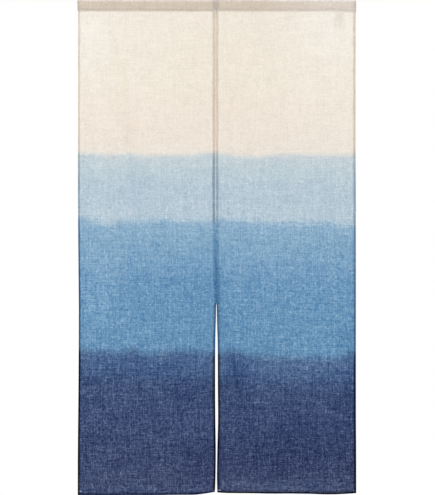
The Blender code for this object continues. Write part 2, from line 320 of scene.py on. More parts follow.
def writeCloth(piece, places, points, cuts, dye):
    # Moves the grid's points to their places, and writes the cut's measures as UVs and the dye's values.
    mesh = piece.data
    mesh.vertices.foreach_set("co", [value for point in points for value in point])
    uvs = [(cuts[0][column], cuts[1][row]) for column, row in places]
    for loop in mesh.loops:
        mesh.uv_layers[0].data[loop.index].uv = uvs[loop.vertex_index]
    mesh.uv_layers[0].name = "cut"
    for name, values in dye.items():
        mesh.attributes.new(name, "FLOAT", "POINT").data.foreach_set("value", values)
    mesh.update()


def thicken(piece, thick):
    selectOnly(piece)
    solid = piece.modifiers.new("cloth", "SOLIDIFY")
    solid.thickness = thick
    solid.offset = 0.0
    bpy.ops.object.modifier_apply(modifier=solid.name)
    piece.data.shade_smooth()
    piece.data.set_sharp_from_angle(angle=math.radians(50))


# The dye: four dips, each line a little uneven

Dip = namedtuple("Dip", "x pale sky deep")  # how far each dip line runs low here, in millimetres
dipLines = table(Dip,
    (-0.424, -4, -10, -6), (-0.4, -4, -8, -6), (-0.367, -2, 3, -3), (-0.331, 2, 11, -4),
    (-0.294, 1, 1, 1), (-0.258, -2, 1, -11), (-0.221, 4, -2, 3), (-0.148, 2, -5, -1),
    (-0.093, 3, 2, -4), (-0.02, -4, -1, 2), (0.008, -2, -6, 6), (0.03, 1, -6, -3),
    (0.056, 5, -4, -3), (0.092, 6, -1, 8), (0.126, 7, 1, 12), (0.181, 2, 6, 13),
    (0.224, 0, 3, 18), (0.273, 1, 8, 18), (0.328, 3, 1, 18), (0.364, 2, 8, 18),
    (0.389, 2, 15, 11), (0.407, 0, 15, 0), (0.424, 0, 14, 2),
)
dipDrops = {"pale": 0.474, "sky": 0.682, "deep": 1.080}
dyeLength = 1.56  # the dye's scale ends below the foot

# Where the cloth is darker or lighter: the middle, the half widths and the share. The broad darker one in the
# middle of the pale band is painted shade and the lighter ones near its outer top corners are painted light; the
# thin strong one darkens the left foot by the slit, and the rest are uneven dye.
Blotch = namedtuple("Blotch", "x drop across down share")
blotches = table(Blotch,
    (0.02, 0.2, 0.22, 0.2, 0.13), (-0.233, 0.568, 0.06, 0.07, 0.05), (-0.066, 0.888, 0.07, 0.09, 0.06),
    (-0.37, 0.86, 0.08, 0.2, -0.04), (-0.35, 0.91, 0.045, 0.09, -0.07), (-0.385, 0.11, 0.05, 0.08, -0.2),
    (0.33, 0.25, 0.1, 0.2, -0.06), (0.35, 0.085, 0.08, 0.06, -0.2), (0.24, 1.122, 0.11, 0.03, -0.09),
    (0.398, 1.032, 0.022, 0.028, 0.15), (0.06, 1.15, 0.03, 0.03, 0.1), (0.014, 1.128, 0.018, 0.022, -0.12),
    (-0.262, 0.4, 0.016, 0.05, 0.15), (0.04, 1.1, 0.035, 0.03, 0.06), (-0.075, 1.19, 0.05, 0.05, 0.05),
    (0.395, 1.24, 0.035, 0.045, 0.12), (0.41, 1.46, 0.03, 0.035, 0.1), (0.24, 1.36, 0.12, 0.08, 0.08),
    (-0.25, 1.4, 0.16, 0.1, -0.05), (-0.05, 1.406, 0.06, 0.08, 0.05), (0.2, 1.495, 0.25, 0.02, -0.05),
    (-0.036, 1.508, 0.03, 0.0025, 0.6), (-0.423, 0.995, 0.0022, 0.065, 0.16), (0.4245, 0.995, 0.003, 0.065, 0.24),
)
# Painted shade along soft creases, darker down each one: where each runs, and its share
Trail = namedtuple("Trail", "drop x share")
creaseShades = (
    table(
        Trail, (0.05, -0.33, 0.04), (0.1, -0.322, 0.16), (0.23, -0.284, 0.18), (0.42, -0.276, 0.18),
        (0.5, -0.26, 0.08), (0.58, -0.236, 0.06), (0.73, -0.252, 0.06), (0.88, -0.255, 0.05),
        (0.98, -0.25, 0.0),
    ),
    table(
        Trail, (0.25, 0.032, 0.0), (0.31, 0.043, 0.08), (0.36, 0.058, 0.09), (0.49, 0.082, 0.05),
        (0.6, 0.095, 0.0),
    ),
    table(
        Trail, (0.9, 0.002, 0.0), (0.93, 0.007, 0.08), (1.01, 0.015, 0.12), (1.056, 0.027, 0.13),
        (1.086, 0.042, 0.13), (1.117, 0.051, 0.12), (1.178, 0.062, 0.12), (1.26, 0.09, 0.0),
    ),
)
creaseShadeWidth = 0.013


def dyeLevel(x, drop):
    # The drop at which the dye's even scale shows what the cloth shows here.
    even = [0.0, *dipDrops.values(), dyeLength]
    here = [0.0, *(level + along(dipLines, name, x) / 1000 for name, level in dipDrops.items()), dyeLength]
    i = min(max(bisect_right(here, drop) - 1, 0), len(here) - 2)
    return between(even[i], even[i + 1], (drop - here[i]) / (here[i + 1] - here[i]))


def byBand(values, level):
    # The value of the band that this level of the dye lies in, eased over the dip lines.
    value = values[0]
    for after, drop in zip(values[1:], dipDrops.values()):
        value = between(value, after, ease((level - drop) / dyeAndShadeFades["band"] + 0.5))
    return value


def withinHem(edge, inward):
    return 1 - ease((inward - hems[edge].width) / dyeAndShadeFades["hem"])


def sewnShare(edge, drop):
    # 1 where this edge is sewn to the other panel, and 0 below the head of the slit.
    fade = dyeAndShadeFades["sewn"]
    return 1 - ease((drop - slitHead + fade / 2) / fade) if edge.endswith("Inner") else 0.0


# Painted light and shade in a hem: its inside tone, and a painted dark line along its fold, stronger where sewn.
def hemPaintedShade(edge, inward, level, drop):
    hem, sewn = hems[edge], sewnShare(edge, drop)
    fold = (1 - ease((inward - hem.reach) / dyeAndShadeFades["fold"])) * between(1.0, sewnHems["fold"], sewn)
    inside = byBand(hem.inside, level) + byBand(sewnHems["uptake"], level) * sewn
    return inside * withinHem(edge, inward) * (1 - fold) + byBand(hem.fold, level) * fold


def hemsAround(panel, x, drop):
    # Each hem's name, and how far this place lies inward of its fold.
    left, right = edgesAt(panel["edges"], drop)
    foot = along(panel["foot"], "drop", x)
    return zip((*panel["edges"], panel["below"]), (x - left, right - x, foot - drop))


def dyeUptake(panel, x, drop):
    # How much darker or lighter than its dye level the cloth is here: uneven dye, and painted light and shade
    # from the blotches, the crease trails and the hems.
    total = 0.0
    for blotch in blotches:
        away = math.hypot((x - blotch.x) / blotch.across, (drop - blotch.drop) / blotch.down)
        total += blotch.share * ease(1 - away / 2)
    for trail in creaseShades:
        if trail[0].drop < drop < trail[-1].drop:
            total += along(trail, "share", drop) * ease(1 - abs(x - along(trail, "x", drop)) / creaseShadeWidth)
    level = dyeLevel(x, drop)
    *beside, below = (hemPaintedShade(edge, inward, level, drop) for edge, inward in hemsAround(panel, x, drop))
    return total + max((sum(beside), below), key=abs)


def backShare(panel, x, drop):
    # The share of the cloth's colour that comes back from it. The rest shines through.
    sewn = byBand(sewnHems["back"], dyeLevel(x, drop))
    return max(
        between(linen["back"], between(hems[edge].back, sewn, sewnShare(edge, drop)), withinHem(edge, inward))
        for edge, inward in hemsAround(panel, x, drop)
    )


# The two panels

# The slight pucker beside a sewn hem is two waves down the cloth.
pucker = {
    "depth": 0.00022,
    "reach": 0.012,  # from the edge into the cloth
    "long": 0.047,  # wavelengths
    "short": 0.031,
    "shortShare": 0.7,
    "skew": 40,
    "start": 0.03,  # it grows over this below the heading
}
Row = namedtuple("Row", "part share")


def sectionRows(parts):
    return [Row(part, share) for part, shares in parts.items() for share in shares]


panelRows = sectionRows({
    "face": [k / linen["rows"] for k in range(linen["rows"] + 1)],
    "hemFace": (0.10, 0.33, 0.56, 0.68, 0.77, 0.86, 0.94, 1.0),
    "footTurn": (0.25, 0.50, 0.75),
    "rear": (0.0, 0.33, 0.67, 1.0),
    "topTurn": (0.33, 0.67),
    "under": (0.0, 0.5, 1.0),
})


def clothDepth(panel, x, drop, left, right):
    # The face's distance behind the heading's front: folds, and the pucker.
    wave = math.sin(math.tau * drop / pucker["long"])
    wave += pucker["shortShare"] * math.sin(math.tau * drop / pucker["short"] + pucker["skew"] * x)
    calm = ease((drop - heading["height"]) / pucker["start"])
    fade = math.exp(-min(x - left, right - x) / pucker["reach"])
    return foldDepth(x, drop, panel["folds"]) + pucker["depth"] * wave * calm * fade


def panelPoint(panel, station, row):
    # A point of the cloth: the foot is turned up twice over the side hems, which it wraps.
    edges = panel["edges"]
    lastLeft, lastRight = edgesAt(edges, panelEdges[-1].drop)
    footX = sideways(station, lastLeft, lastRight, edges)
    foot = along(panel["foot"], "drop", footX)
    top = heading["height"] + endSag(footX)
    hem, gap = linen["footHem"], linen["layerGap"]
    bulk = hemBulk(footX, lastLeft, lastRight, edges)
    rear, under = gap * (2 + 6 * bulk), gap * (1 + 2 * bulk)  # thicker where it wraps a side hem
    offset = gap * station.layer
    turn = math.pi * row.share
    if row.part == "face":
        drop, depth = between(top, foot - hem - linen["hemFade"], row.share), offset
    elif row.part == "hemFace":
        drop, depth = between(foot - hem - linen["hemFade"], foot - rear / 2, row.share), offset
    elif row.part == "footTurn":
        drop = foot - rear / 2 + (rear / 2 - offset) * math.sin(turn)
        depth = rear / 2 - (rear / 2 - offset) * math.cos(turn)
    elif row.part == "rear":
        drop, depth = foot - between(rear / 2, hem - (rear - under) / 2, row.share), rear - offset
    elif row.part == "topTurn":
        radius = (rear - under) / 2
        drop = foot - hem + radius - (radius - offset) * math.sin(turn)
        depth = (rear + under) / 2 + (radius - offset) * math.cos(turn)
    else:
        drop = foot - between(hem - (rear - under) / 2, linen["rawEdge"], row.share)
        depth = under + offset
    left, right = edgesAt(edges, drop)
    x = sideways(station, left, right, edges)
    footBulk = ease((drop - foot + hem + linen["hemFade"]) / linen["hemFade"])
    rise = ease((drop - top) / linen["proudRise"])
    proud = linen["hemProud"] * max(hemBulk(x, left, right, edges), footBulk) * rise
    y = clothDepth(panel, x, drop, left, right) + linen["thick"] / 2 + depth - proud
    return x, y, -drop


def layCloth(name, rows, pointAt, left, width, columns, edges, way, dyeAt):
    # A sheet over its stations and rows, and the size it was cut to. Its length is measured from the top
    # edge of the panels: down, or up and over the heading.
    stations, cutWidth = acrossStations(width, columns, edges)
    piece, places = newGrid(name, len(stations) - 1, len(rows) - 1)
    points = [pointAt(stations[column], rows[row]) for column, row in places]
    section = [pointAt(stations[len(stations) // 2], row) for row in rows]
    cuts = [heading["height"]]
    for before, after in zip(section, section[1:]):
        cuts.append(cuts[-1] + way * math.dist(before, after))
    dye = dyeAt([(x, -z) for x, y, z in points])
    writeCloth(piece, places, points, ([left + station.cut for station in stations], cuts), dye)
    if way < 0:
        piece.data.flip_normals()
    thicken(piece, linen["thick"])
    flat = (cutWidth, abs(cuts[-1] - cuts[0]))
    print(name, "cut", [round(size, 4) for size in flat], len(piece.data.polygons), "faces")
    return piece, flat


def makePanel(name):
    panel = panels[name]
    edges = panel["edges"]
    left, right = edgesAt(edges, linen["widthDrop"])

    def pointAt(station, row):
        return panelPoint(panel, station, row)

    def dyeAt(spots):
        levels = [dyeLevel(*spot) for spot in spots]
        return {
            "dyeLevel": levels,
            "dyeUptake": [dyeUptake(panel, *spot) for spot in spots],
            "grain": [byBand(grainByBand, level) for level in levels],
            "dyed": [byBand(dyedByBand, level) for level in levels],
            "back": [backShare(panel, *spot) for spot in spots],
        }

    piece, panel["flat"] = layCloth(
        name, panelRows, pointAt, left, right - left, linen["columns"], edges, 1, dyeAt,
    )
    return piece


# The heading: both halves of the cloth turned over to the back, which makes the rod pocket

headingRows = sectionRows({
    "front": (0.0, 0.33, 0.67, 1.0),
    "frontRise": (0.25, 0.5, 0.75),
    "arc": [k / 14 for k in range(15)],
    "backFall": (0.25, 0.5, 0.75),
    "back": (0.0, 0.33, 0.67, 1.0),
    "lowTurn": (0.25, 0.50, 0.75),
    "under": (0.0, 0.5, 1.0),
})


def headingPoint(station, row, left, right, edges):
    # The section at a station: up the front, over the rod's room, down the back and turned under.
    half, gap = linen["thick"] / 2, linen["layerGap"]
    x = sideways(station, left, right, edges)
    bulk = hemBulk(x, left, right, edges)
    offset = gap * station.layer
    back, under = gap * (3 + 6 * bulk), gap * (1.5 + 2 * bulk)
    floor, low = heading["pocketFloor"], heading["height"] + heading["backLower"]
    middle, radius = heading["bandThick"] / 2, heading["pocketRadius"] - half
    halfArc = math.radians(heading["pocketArc"]) / 2
    arcFoot = (middle - (radius - offset) * math.sin(halfArc),
               heading["pocketRadius"] - (radius - offset) * math.cos(halfArc))
    turnRadius = (back - under) / 2
    if row.part == "front":
        y, drop = half + offset, between(heading["height"], floor, row.share)
    elif row.part == "frontRise":
        y, drop = between(half + offset, arcFoot[0], row.share), between(floor, arcFoot[1], row.share)
    elif row.part == "arc":
        turn = between(-halfArc, halfArc, row.share)
        y = middle + (radius - offset) * math.sin(turn)
        drop = heading["pocketRadius"] - (radius - offset) * math.cos(turn)
    elif row.part == "backFall":
        y = between(2 * middle - arcFoot[0], half + back - offset, row.share)
        drop = between(arcFoot[1], floor, row.share)
    elif row.part == "back":
        y, drop = half + back - offset, between(floor, low - turnRadius, row.share)
    elif row.part == "lowTurn":
        turn = math.pi * row.share
        y = half + (back + under) / 2 + (turnRadius - offset) * math.cos(turn)
        drop = low - turnRadius + (turnRadius - offset) * math.sin(turn)
    else:
        y = half + under + offset
        drop = low - between(turnRadius, heading["turnedUnder"], row.share)
    y += (y - middle) * swell(x) * ease(1 - drop / floor)
    drop += endSag(x) * ease(drop / heading["height"])
    return x, y, -drop


# Painted light and shade on the band: a painted highlight along its top fold, painted shade a little below it,
# and painted lighter where it is three layers.
Tone = namedtuple("Tone", "place uptake")
headingTones = table(Tone,  # by drop
    (0.0, -0.95), (0.003, -0.88), (0.0046, -0.7), (0.0076, -0.12), (0.0107, 0.04),
    (0.016, 0.0), (0.02, -0.08), (0.0262, -0.08), (0.029, -0.18), (0.032, -0.24),
    (0.0385, -0.26),
)
# By x the band is painted lighter at its middle and towards its right end.
headingSides = table(Tone,  # by x
    (-0.43, -0.01), (-0.035, -0.01), (-0.012, -0.1), (0.003, -0.1), (0.026, 0.0),
    (0.14, 0.0), (0.2, -0.14), (0.28, -0.2), (0.34, -0.25), (0.43, -0.24),
)


# Painted light and shade on the heading, by drop and by x.
def headingPaintedLight(x, drop):
    return along(headingTones, "uptake", drop) + along(headingSides, "uptake", x)


def makeHeading():
    top = panelEdges[0]
    halves = (
        (heading["left"], top.leftInner, panels["leftCloth"]["edges"]),
        (top.rightInner, heading["right"], panels["rightCloth"]["edges"]),
    )
    laid = []
    for left, right, edges in halves:
        def pointAt(station, row):
            return headingPoint(station, row, left, right, edges)

        def dyeAt(spots):
            return {"dyeUptake": [headingPaintedLight(*spot) for spot in spots]}
        laid.append(layCloth(
            "headingCloth", headingRows, pointAt, left, right - left, heading["columns"], edges, -1, dyeAt,
        ))
    pieces, sizes = zip(*laid)
    selectOnly(*pieces)
    bpy.ops.object.join()
    heading["flat"] = (sum(width for width, _ in sizes), sizes[0][1])
    return pieces[0]


# The care label: a blank ribbon sewn to the back of the heading

label = {
    "left": 0.3590, "right": 0.3895,
    "top": 0.0335, "foot": 0.0940,
    "lean": -0.0060,  # its free end hangs this far to the side
    "thick": 0.00028,
    "behind": 0.0016,  # it lies this far behind the face of the cloth
    "lift": 0.0014,  # its free end stands off by this more
    "curl": 0.0007,  # and its sides by this
    "wave": 0.0004,
    "columns": 16, "rows": 34,
    "ribPitch": 0.00045,
    "shades": ((246, 244, 238), (251, 250, 246)),
    "rough": 0.6,
    "back": 0.3,
}


def labelPoint(share, down):
    x = between(label["left"], label["right"], share) + label["lean"] * down
    drop = between(label["top"], label["foot"], down) + endSag(x)
    behind = foldDepth(x, drop, panels["rightCloth"]["folds"]) + label["behind"]
    side = 2 * share - 1
    y = behind + label["lift"] * down * down + label["curl"] * side * side * down
    y -= label["wave"] * math.sin(5 * down + side)
    return x, y, -drop


def makeLabel():
    piece, places = newGrid("careLabel", label["columns"], label["rows"])
    points = [labelPoint(column / label["columns"], row / label["rows"]) for column, row in places]
    label["flat"] = (label["right"] - label["left"], label["foot"] - label["top"])
    counts = (label["columns"], label["rows"])
    cuts = [[size * k / count for k in range(count + 1)] for size, count in zip(label["flat"], counts)]
    writeCloth(piece, places, points, cuts, {})
    thicken(piece, label["thick"])
    return piece


# Sewing: one stitch is shaped once, and each row of stitches is one joined mesh

sewing = {
    "pitch": 0.0031,  # from one needle hole to the next
    "length": 0.0027,  # of the thread that shows between them
    "width": 0.00042,
    "height": 0.00026,
    "dive": 0.9,  # how deep a stitch's ends go, to its height
    "lift": 0.00004,
    "stray": 0.00008,  # how far its ends stray from the seam line
    "sideInset": 0.0014,  # a seam line's distance from the inner fold of its hem
    "footInset": 0.0020,
    "hemTop": 0.002,  # the hems' seams start this far below the heading
    "hemBottom": 1.494,  # and end at this drop
    "footEnds": 0.010,  # the foot's seam stops this far short of the edges
    "headingDrop": 0.0322,
    "headingEnds": 0.003,
    "labelRise": 0.0009,  # the heading's stitches stand this much higher on the label
    "labelSides": 0.001,
}
# The hand stitches that close the seam down to the slit, and the tack at its head
ladder = {"top": 0.010, "stop": 0.002, "pitch": 0.0052, "reach": 0.0022, "lean": 0.0007, "width": 0.95}
slitTack = {"rise": 0.0040, "fall": 0.0012, "pitch": 0.00042, "reach": 0.0034}
# A few stitches close each lower corner: middle, height above the foot, length, thread and stitches. They
# lie close side by side, each a little further along and more level than the last.
tackLook = {"close": 0.9, "shift": 0.0004, "proud": 0.0002, "slant": 0.12, "level": 0.1}
Tack = namedtuple("Tack", "x rise length width count")
tacks = {
    "leftCloth": (Tack(-0.416, 0.0124, 0.0082, 0.00105, 3), Tack(-0.0085, 0.0052, 0.0042, 0.0006, 2)),
    "rightCloth": (Tack(0.0068, 0.0076, 0.0092, 0.0011, 3), Tack(0.4165, 0.0085, 0.005, 0.0007, 2)),
}


def shapeStitch():
    # A short thread, fattest in its middle, that dips into the cloth at both ends.
    selectOnly()
    bpy.ops.mesh.primitive_uv_sphere_add(segments=6, ring_count=4, radius=0.5)
    stitch = bpy.context.active_object
    bpy.ops.object.mode_set(mode="EDIT")
    bpy.ops.mesh.select_all(action="SELECT")
    bpy.ops.transform.rotate(value=math.radians(90), orient_axis="Y", center_override=(0, 0, 0))
    bpy.ops.object.mode_set(mode="OBJECT")
    points = np.array([vertex.co[:] for vertex in stitch.data.vertices])
    faces = [tuple(polygon.vertices) for polygon in stitch.data.polygons]
    points[:, 2] -= sewing["dive"] * points[:, 0] ** 2
    bpy.data.objects.remove(stitch)
    return points, faces


def intoScene(name, data, location=(0, 0, 0)):
    thing = bpy.data.objects.new(name, data)
    thing.location = location
    scene.collection.objects.link(thing)
    return thing


def sew(name, places):
    # One mesh of all the stitches. A place is where, the way along, the way out, length and width.
    points, faces = shapeStitch()
    where, ahead, out = (np.array([place[k] for place in places], dtype=float) for k in range(3))
    length, width = (np.array([place[k] for place in places])[:, None] for k in (3, 4))
    ahead /= np.linalg.norm(ahead, axis=1)[:, None]
    out -= ahead * np.sum(out * ahead, axis=1)[:, None]
    out /= np.linalg.norm(out, axis=1)[:, None]
    side = np.cross(out, ahead)
    high = width * sewing["height"] / sewing["width"]
    every = (
        where[:, None, :]
        + points[None, :, 0:1] * (ahead * length)[:, None, :]
        + points[None, :, 1:2] * (side * width)[:, None, :]
        + points[None, :, 2:3] * (out * high * 2)[:, None, :]
    ).reshape(-1, 3)
    allFaces = [tuple(v + k * len(points) for v in face) for k in range(len(places)) for face in faces]
    mesh = bpy.data.meshes.new(name)
    mesh.from_pydata(every.tolist(), [], allFaces)
    mesh.shade_smooth()
    print(name, len(places), "stitches")
    return intoScene(name, mesh)


def seamLine(pointAt, start, end, out, jitter):
    # Places for machine stitches from start to end of a line that pointAt gives.
    places = []
    for k in range(int((end - start) / sewing["pitch"])):
        middle = start + (k + 0.5) * sewing["pitch"]
        before, after = (np.array(pointAt(middle + half * sewing["length"])) for half in (-0.5, 0.5))
        where = (before + after) / 2 + np.array(out) * sewing["lift"]
        stray = np.array((jitter.uniform(-1, 1), 0, jitter.uniform(-1, 1))) * sewing["stray"]
        length = sewing["length"] * jitter.uniform(0.93, 1.05)
        width = sewing["width"] * jitter.uniform(0.9, 1.1)
        places.append((where, after - before + stray, out, length, width))
    return places


def bothFaces(gaps):
    # Where sewing lies on the front and on the back of layers with so many gaps, and the way out of them.
    return (0.0, (0, -1, 0)), (gaps * linen["layerGap"] + linen["thick"], (0, 1, 0))


def facePoint(panel, x, drop, behind):
    left, right = edgesAt(panel["edges"], drop)
    y = clothDepth(panel, x, drop, left, right) - linen["hemProud"] * (1 if behind == 0 else 0)
    return x, y + behind, -drop


def hemStitches(name):
    # Front and back of both side hems and the foot hem of one panel.
    panel = panels[name]
    jitter = random.Random(name)
    ends = edgesAt(panel["edges"], panelEdges[-1].drop)
    places = []
    for behind, out in bothFaces(2):
        for edge, sign in zip(panel["edges"], (1, -1)):
            def sideAt(drop):
                inset = hems[edge].width - sewing["sideInset"]
                return facePoint(panel, along(panelEdges, edge, drop) + sign * inset, drop, behind)
            places += seamLine(sideAt, heading["height"] + sewing["hemTop"], sewing["hemBottom"], out, jitter)

        def footAt(x):
            drop = along(panel["foot"], "drop", x) - linen["footHem"] + sewing["footInset"]
            return facePoint(panel, x, drop, behind)
        places += seamLine(footAt, ends[0] + sewing["footEnds"], ends[1] - sewing["footEnds"], out, jitter)
    return sew(name.replace("Cloth", "HemStitches"), places)


def headingStitches():
    jitter = random.Random("heading")
    start, end = label["left"] - sewing["labelSides"], label["right"] + sewing["labelSides"]
    places = []
    for behind, out in bothFaces(3):
        def pointAt(x):
            rise = sewing["labelRise"] if start < x < end and behind > 0 else 0.0
            return x, behind + rise, -(sewing["headingDrop"] + endSag(x))
        short = sewing["headingEnds"]
        places += seamLine(pointAt, heading["left"] + short, heading["right"] - short, out, jitter)
    return sew("headingStitches", places)


def cornerTacks():
    # Hand stitches in a paler thread, side by side, at the front and at the back.
    places = []
    for name, row in tacks.items():
        panel = panels[name]
        for tack in row:
            foot = along(panel["foot"], "drop", tack.x)
            for behind, out in bothFaces(4):
                for k in range(tack.count):
                    drop = foot - tack.rise + (k - (tack.count - 1) / 2) * tack.width * tackLook["close"]
                    x, y, z = facePoint(panel, tack.x, drop, behind)
                    where = (x + tackLook["shift"] * k, y + out[1] * tackLook["proud"], z)
                    turn = (1.0, 0.0, tackLook["slant"] - tackLook["level"] * k)
                    places.append((where, turn, out, tack.length, tack.width))
    return sew("cornerTacks", places)


def seamStitches():
    # Small stitches across the gap close the seam down to the slit, and a tack holds its end.
    jitter = random.Random("seam")
    places = []
    drops = list(np.arange(ladder["top"], slitHead - ladder["stop"], ladder["pitch"]))
    tack = list(np.arange(slitHead - slitTack["rise"], slitHead + slitTack["fall"], slitTack["pitch"]))
    for drop in drops + tack:
        close = drop in tack
        reach = slitTack["reach"] if close else ladder["reach"]
        sides = along(panelEdges, "leftInner", drop), along(panelEdges, "rightInner", drop)
        faces = [0.0, 0.0]
        if drop > heading["height"]:
            faces = [facePoint(panel, x, drop, 0.0)[1] for panel, x in zip(panels.values(), sides)]
        for behind, out in bothFaces(2):
            if behind and drop < heading["height"]:
                continue
            lean = 0.0 if close else jitter.uniform(-ladder["lean"], ladder["lean"])
            where = (sum(sides) / 2, sum(faces) / 2 + behind, -drop)
            turn = (1.0, faces[1] - faces[0], lean / reach)
            length = reach * jitter.uniform(0.9, 1.1)
            places.append((where, turn, out, length, sewing["width"] * ladder["width"]))
    return sew("seamStitches", places)


# Materials

def paint(red, green, blue):
    # A screen colour, 0 to 255, as light.
    def light(value):
        share = value / 255
        return share / 12.92 if share <= 0.04045 else ((share + 0.055) / 1.055) ** 2.4
    return light(red), light(green), light(blue), 1.0


def feed(tree, fed, inputs):
    # Links or sets a node's inputs by their names or places.
    for key, value in inputs.items():
        if isinstance(value, bpy.types.NodeSocket):
            tree.links.new(value, fed.inputs[key])
        else:
            fed.inputs[key].default_value = value


def node(tree, kind, inputs=None, **settings):
    new = tree.nodes.new("ShaderNode" + kind)
    for name, value in settings.items():
        setattr(new, name, value)
    feed(tree, new, inputs or {})
    return new


def reckon(tree, operation, *values, kind="Math"):
    return node(tree, kind, dict(enumerate(values)), operation=operation).outputs[0]


def written(tree, name):
    # A value that writeCloth put on the points.
    return node(tree, "Attribute", attribute_name=name).outputs["Fac"]


def mixed(tree, share, first, second):
    return node(tree, "Mix", {0: share, 6: first, 7: second}, data_type="RGBA").outputs[2]


def threadNoise(tree, cut, seed, scale, detail, rough=0.5, shift=0):
    # Noise of a scale across and down the cloth, so that it can run along the threads.
    place = node(tree, "Mapping", {"Vector": cut, "Location": (shift, shift * 0.7, 0), "Scale": (*scale, 1)})
    inputs = {"Vector": place.outputs[0], "W": seed, "Scale": 1.0, "Detail": detail, "Roughness": rough}
    return node(tree, "TexNoise", inputs, noise_dimensions="4D").outputs["Fac"]


def newGroup(name, inputs, outputs):
    tree = bpy.data.node_groups.new(name, "ShaderNodeTree")
    for title, kind, value in inputs:
        socket = tree.interface.new_socket(name=title, in_out="INPUT", socket_type="NodeSocket" + kind)
        if value is not None:
            socket.default_value = value
    for title, kind in outputs:
        tree.interface.new_socket(name=title, in_out="OUTPUT", socket_type="NodeSocket" + kind)
    return tree, tree.nodes.new("NodeGroupInput").outputs, tree.nodes.new("NodeGroupOutput").inputs


def useGroup(tree, name, inputs):
    return node(tree, "Group", inputs, node_tree=groups[name])


dyeStops = (  # drop on the even scale, colour of the single cloth
    (0.04, 243, 235, 223), (0.26, 243, 235, 222), (0.34, 242, 232, 220), (0.445, 240, 230, 219),
    (0.465, 239, 231, 220), (0.474, 219, 221, 220),
    (0.483, 201, 213, 219), (0.52, 193, 209, 217), (0.575, 185, 203, 216), (0.655, 186, 204, 216),
    (0.671, 180, 201, 216), (0.68, 160, 189, 210), (0.689, 143, 178, 205), (0.74, 132, 171, 200),
    (0.8, 124, 164, 197), (0.865, 111, 154, 191), (0.98, 106, 151, 188), (1.063, 104, 148, 186),
    (1.077, 89, 125, 163), (1.091, 77, 104, 144), (1.132, 71, 96, 137), (1.175, 65, 84, 123),
    (1.3, 62, 77, 116), (1.395, 58, 70, 107), (1.46, 63, 75, 111), (1.492, 66, 78, 114),
)


def makeDyeBath():
    # The colour of the single cloth at a level of the dye.
    tree, inside, outside = newGroup("dyeBath", [("Level", "Float", 0.0)], [("Colour", "Color")])
    ramp = node(tree, "ValToRGB", {"Fac": reckon(tree, "DIVIDE", inside["Level"], dyeLength)})
    stops = ramp.color_ramp.elements
    for drop, *_ in dyeStops[1:-1]:
        stops.new(drop / dyeLength)
    for stop, (drop, *colour) in zip(stops, dyeStops):
        stop.position = drop / dyeLength
        stop.color = paint(*colour)
    tree.links.new(ramp.outputs["Color"], outside["Colour"])
    return tree


# The threads' unevenness: each noise's scale across and down the cloth, its detail and its shift
slubNoise = {
    "weft": (17, 430, 1.0, 3.1),
    "warp": (430, 14, 1.0, 7.7),
    "weftFine": (110, 620, 0.0, 1.3),
    "warpFine": (620, 110, 0.0, 5.9),
    "broad": (26, 30, 2.0, 9.2),
}
slubLook = {"coarse": 0.82, "fine": 1.20, "broad": 0.06, "weavePitch": 0.00105, "weave": 0.05}


def makeSlubs():
    # Uneven linen threads both ways: how much denser the cloth is here, and its height.
    tree, inside, outside = newGroup(
        "linenSlubs",
        [("Cut", "Vector", None), ("Seed", "Float", 0.0), ("Slub", "Float", 1.0)],
        [("Density", "Float"), ("Height", "Float")],
    )

    def threads(across, down, detail, shift):
        noise = threadNoise(tree, inside["Cut"], inside["Seed"], (across, down), detail, 0.55, shift)
        return reckon(tree, "SUBTRACT", noise, 0.5)

    def plus(a, b):
        return reckon(tree, "ADD", a, b)

    def times(a, b):
        return reckon(tree, "MULTIPLY", a, b)

    weft, warp, weftFine, warpFine, broad = (threads(*values) for values in slubNoise.values())
    coarse = times(plus(weft, warp), slubLook["coarse"])
    fine = times(plus(weftFine, warpFine), slubLook["fine"])
    slub = plus(plus(coarse, fine), times(broad, slubLook["broad"]))
    split = node(tree, "SeparateXYZ", {0: inside["Cut"]})
    turns = math.tau / slubLook["weavePitch"]
    weave = times(*(reckon(tree, "SINE", times(split.outputs[axis], turns)) for axis in ("X", "Y")))
    density = plus(times(slub, inside["Slub"]), times(weave, slubLook["weave"]))
    tree.links.new(density, outside["Density"])
    tree.links.new(plus(times(slub, 0.7), times(weave, 0.3)), outside["Height"])
    return tree


def makeYarn():
    # The cloth's colour where it is denser, and where it took more dye and carries painted light and shade. What
    # isn't dyed is shaded by its threads alone.
    tree, inside, outside = newGroup(
        "unevenYarn",
        [("Colour", "Color", None)] + [(name, "Float", 0.0) for name in ("Density", "Uptake", "Dyed")],
        [("Colour", "Color")],
    )
    density, uptake, dyed = (inside[name] for name in ("Density", "Uptake", "Dyed"))
    power = reckon(tree, "ADD", reckon(tree, "MULTIPLY_ADD", density, dyed, uptake), 1.0)
    tinted = node(tree, "Gamma", {"Color": inside["Colour"], "Gamma": power})
    plain = reckon(tree, "MULTIPLY_ADD", dyed, linenLook["shade"], -linenLook["shade"])
    shade = reckon(tree, "MULTIPLY_ADD", density, plain, 1.0)
    shaded = node(tree, "VectorMath", {0: tinted.outputs[0], "Scale": shade}, operation="SCALE")
    tree.links.new(shaded.outputs[0], outside["Colour"])
    return tree


